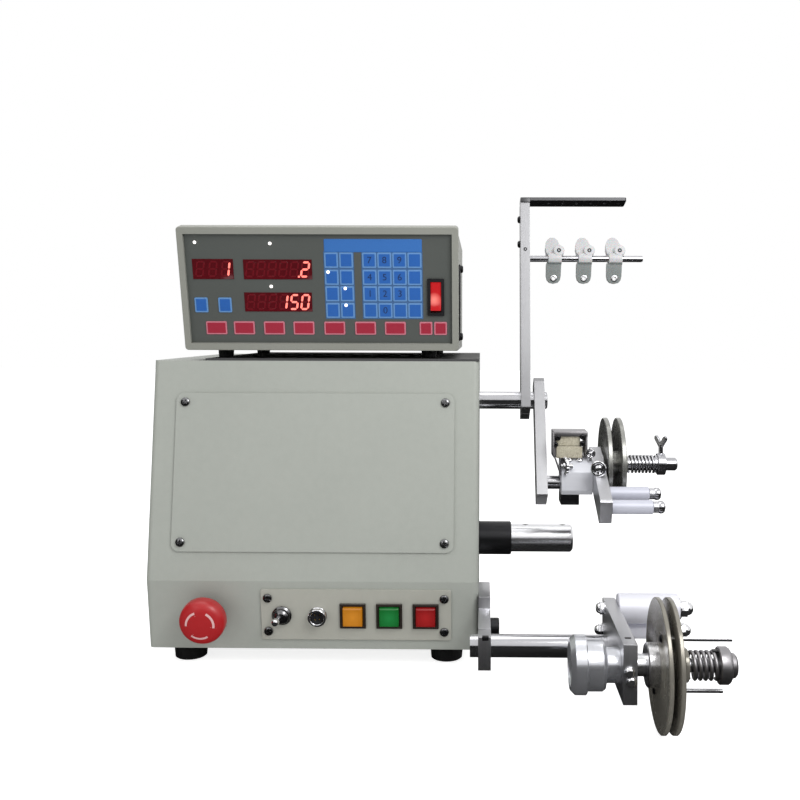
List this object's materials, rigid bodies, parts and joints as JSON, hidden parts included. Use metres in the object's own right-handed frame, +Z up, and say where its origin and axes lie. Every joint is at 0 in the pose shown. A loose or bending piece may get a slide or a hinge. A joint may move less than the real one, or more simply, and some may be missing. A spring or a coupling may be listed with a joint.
{
  "type": "coil winding machine",
  "caption": "Bench machine that winds wire into coils: sheet-metal case with keypad controller, driven spindle, traversing wire guides and a friction-braked tension wheel.",
  "frame": {"origin": "on the bench, under the middle of the machine's outline box", "axes": "+X along the spindle, out of the machine's right side; +Y to its back; +Z up"},
  "size_m": [0.4736, 0.4358, 0.4188],
  "materials": {
    "case_paint": "satin powder coat",
    "controller_paint": "satin powder coat",
    "panel_film": "matte printed film",
    "board_green": "solder mask",
    "red_plastic": "gloss",
    "amber_plastic": "lit, gloss",
    "green_plastic": "lit, gloss",
    "black_plastic": "matte",
    "rubber": "matte",
    "dark_mat": "matte",
    "polished_steel": "polished",
    "brushed_steel": "brushed",
    "dark_steel": "blackened",
    "aluminium": "machined",
    "nylon": "matte",
    "felt": "felt",
    "brass": "turned"
  },
  "bodies": {
    "machine": {"case_shell": "case_paint", "front_cover": "case_paint", "switch_plate": "case_paint", "rear_panel": "case_paint", "case_screws": "dark_steel", "rubber_feet": "rubber", "top_mat": "dark_mat", "estop_collar": "black_plastic", "button_bezels": "black_plastic", "toggle_bushing": "rubber", "pedal_socket": "polished_steel", "controller_case": "controller_paint", "controller_bezel": "controller_paint", "control_panel": "panel_film", "circuit_board": "board_green", "rocker_frame": "black_plastic", "spindle_housing": "dark_steel", "spindle_bearings": "brushed_steel", "drive_belt": "rubber", "spindle_motor": "dark_steel", "rod_bushing": "brass", "stepper_motor": "dark_steel", "rod_bracket": "aluminium", "tension_rod": "polished_steel"},
    "spindle": {"spindle_shaft": "polished_steel", "spindle_pulley": "aluminium"},
    "motor_rotor": {"motor_pulley": "aluminium"},
    "traverse": {"traverse_rod": "polished_steel", "traverse_carriage": "aluminium"},
    "feed_screw": {"lead_screw": "brushed_steel"},
    "stand": {"stand_bar": "aluminium", "stand_top_strip": "dark_steel", "stand_guide_rod": "polished_steel", "wire_guides": "nylon"},
    "arm": {"guide_arm": "aluminium", "head_rod": "polished_steel"},
    "head": {"head_block": "aluminium", "felt_clamp": "brushed_steel", "felt_pads": "felt", "head_plate": "aluminium", "small_wheel_shaft": "brushed_steel", "small_wheel_spring": "brushed_steel", "wing_collar": "brushed_steel"},
    "small_wheel": {"small_wheel_discs": "brushed_steel"},
    "roller_front": {"front_roller": "aluminium"},
    "roller_rear": {"rear_roller": "aluminium"},
    "estop": {"estop_head": "red_plastic"},
    "amber": {"amber_button": "amber_plastic"},
    "green": {"green_button": "green_plastic"},
    "red": {"red_button": "red_plastic"},
    "toggle": {"toggle_lever": "polished_steel"},
    "rocker": {"power_rocker": "red_plastic"},
    "tension": {"tension_arm": "aluminium", "brake_body": "aluminium"},
    "big_wheel": {"wheel_hub": "brushed_steel", "big_wheel_discs": "brushed_steel", "wheel_spring": "brushed_steel", "wheel_nut": "brushed_steel"},
    "roller_upper": {"upper_arm_roller": "aluminium"},
    "roller_lower": {"lower_arm_roller": "aluminium"}
  },
  "joints": [
    {"name": "spindle_turn", "type": "hinge", "parent": "machine", "child": "spindle", "pos_m": [0.0467, 0.0195, 0.103], "axis": [1, 0, 0], "continuous": true},
    {"name": "motor_turn", "type": "hinge", "parent": "machine", "child": "motor_rotor", "pos_m": [-0.0433, 0.1375, 0.07], "axis": [1, 0, 0], "continuous": true},
    {"name": "traverse_slide", "type": "slide", "parent": "machine", "child": "traverse", "axis": [1, 0, 0], "range_m": [-0.03, 0.08]},
    {"name": "feed_screw_turn", "type": "hinge", "parent": "machine", "child": "feed_screw", "pos_m": [-0.0933, 0.0555, 0.229], "axis": [1, 0, 0], "range_deg": [-1081, 2881]},
    {"name": "stand_swing", "type": "hinge", "parent": "traverse", "child": "stand", "pos_m": [0.09245, 0.0255, 0.229], "axis": [1, 0, 0], "range_deg": [-10, 15]},
    {"name": "arm_swing", "type": "hinge", "parent": "traverse", "child": "arm", "pos_m": [0.10445, 0.0255, 0.229], "axis": [1, 0, 0], "range_deg": [-15, 15]},
    {"name": "head_swing", "type": "hinge", "parent": "arm", "child": "head", "pos_m": [0.1352, -0.0145, 0.15972], "axis": [1, 0, 0], "range_deg": [-15, 15]},
    {"name": "small_wheel_turn", "type": "hinge", "parent": "head", "child": "small_wheel", "pos_m": [0.1682, -0.0065, 0.17522], "axis": [1, 0, 0], "continuous": true},
    {"name": "front_roller_turn", "type": "hinge", "parent": "head", "child": "roller_front", "pos_m": [0.1757, -0.07187, 0.14881], "axis": [1, 0, 0], "continuous": true},
    {"name": "rear_roller_turn", "type": "hinge", "parent": "head", "child": "roller_rear", "pos_m": [0.1757, -0.05286, 0.15649], "axis": [1, 0, 0], "continuous": true},
    {"name": "estop_press", "type": "slide", "parent": "machine", "child": "estop", "axis": [0, 0.9868, 0.1618], "range_m": [0, 0.004], "stiffness_N_per_m": 1500},
    {"name": "amber_press", "type": "slide", "parent": "machine", "child": "amber", "axis": [0, 0.9868, 0.1618], "range_m": [0, 0.0025], "stiffness_N_per_m": 400},
    {"name": "green_press", "type": "slide", "parent": "machine", "child": "green", "axis": [0, 0.9868, 0.1618], "range_m": [0, 0.0025], "stiffness_N_per_m": 400},
    {"name": "red_press", "type": "slide", "parent": "machine", "child": "red", "axis": [0, 0.9868, 0.1618], "range_m": [0, 0.0025], "stiffness_N_per_m": 400},
    {"name": "toggle_flip", "type": "hinge", "parent": "machine", "child": "toggle", "pos_m": [-0.1193, -0.03713, 0.04715], "axis": [0, -0.1618, 0.9868], "range_deg": [0, 24]},
    {"name": "rocker_flip", "type": "hinge", "parent": "machine", "child": "rocker", "pos_m": [0.0122, -0.02047, 0.32307], "axis": [1, 0, 0], "range_deg": [0, 20]},
    {"name": "tension_swing", "type": "hinge", "parent": "machine", "child": "tension", "pos_m": [0.1572, -0.1005, 0.043], "axis": [-1, 0, 0], "range_deg": [0, 12]},
    {"name": "big_wheel_turn", "type": "hinge", "parent": "tension", "child": "big_wheel", "pos_m": [0.1847, -0.1705, 0.053], "axis": [1, 0, 0], "continuous": true},
    {"name": "upper_roller_turn", "type": "hinge", "parent": "tension", "child": "roller_upper", "pos_m": [0.1868, -0.0865, 0.0695], "axis": [1, 0, 0], "continuous": true},
    {"name": "lower_roller_turn", "type": "hinge", "parent": "tension", "child": "roller_lower", "pos_m": [0.1868, -0.0785, 0.0495], "axis": [1, 0, 0], "continuous": true}
  ],
  "couplings": [
    {"joint": "motor_turn", "follows": "spindle_turn", "ratio": 1.5789},
    {"joint": "feed_screw_turn", "follows": "traverse_slide", "rad_per_m": 628.32}
  ]
}
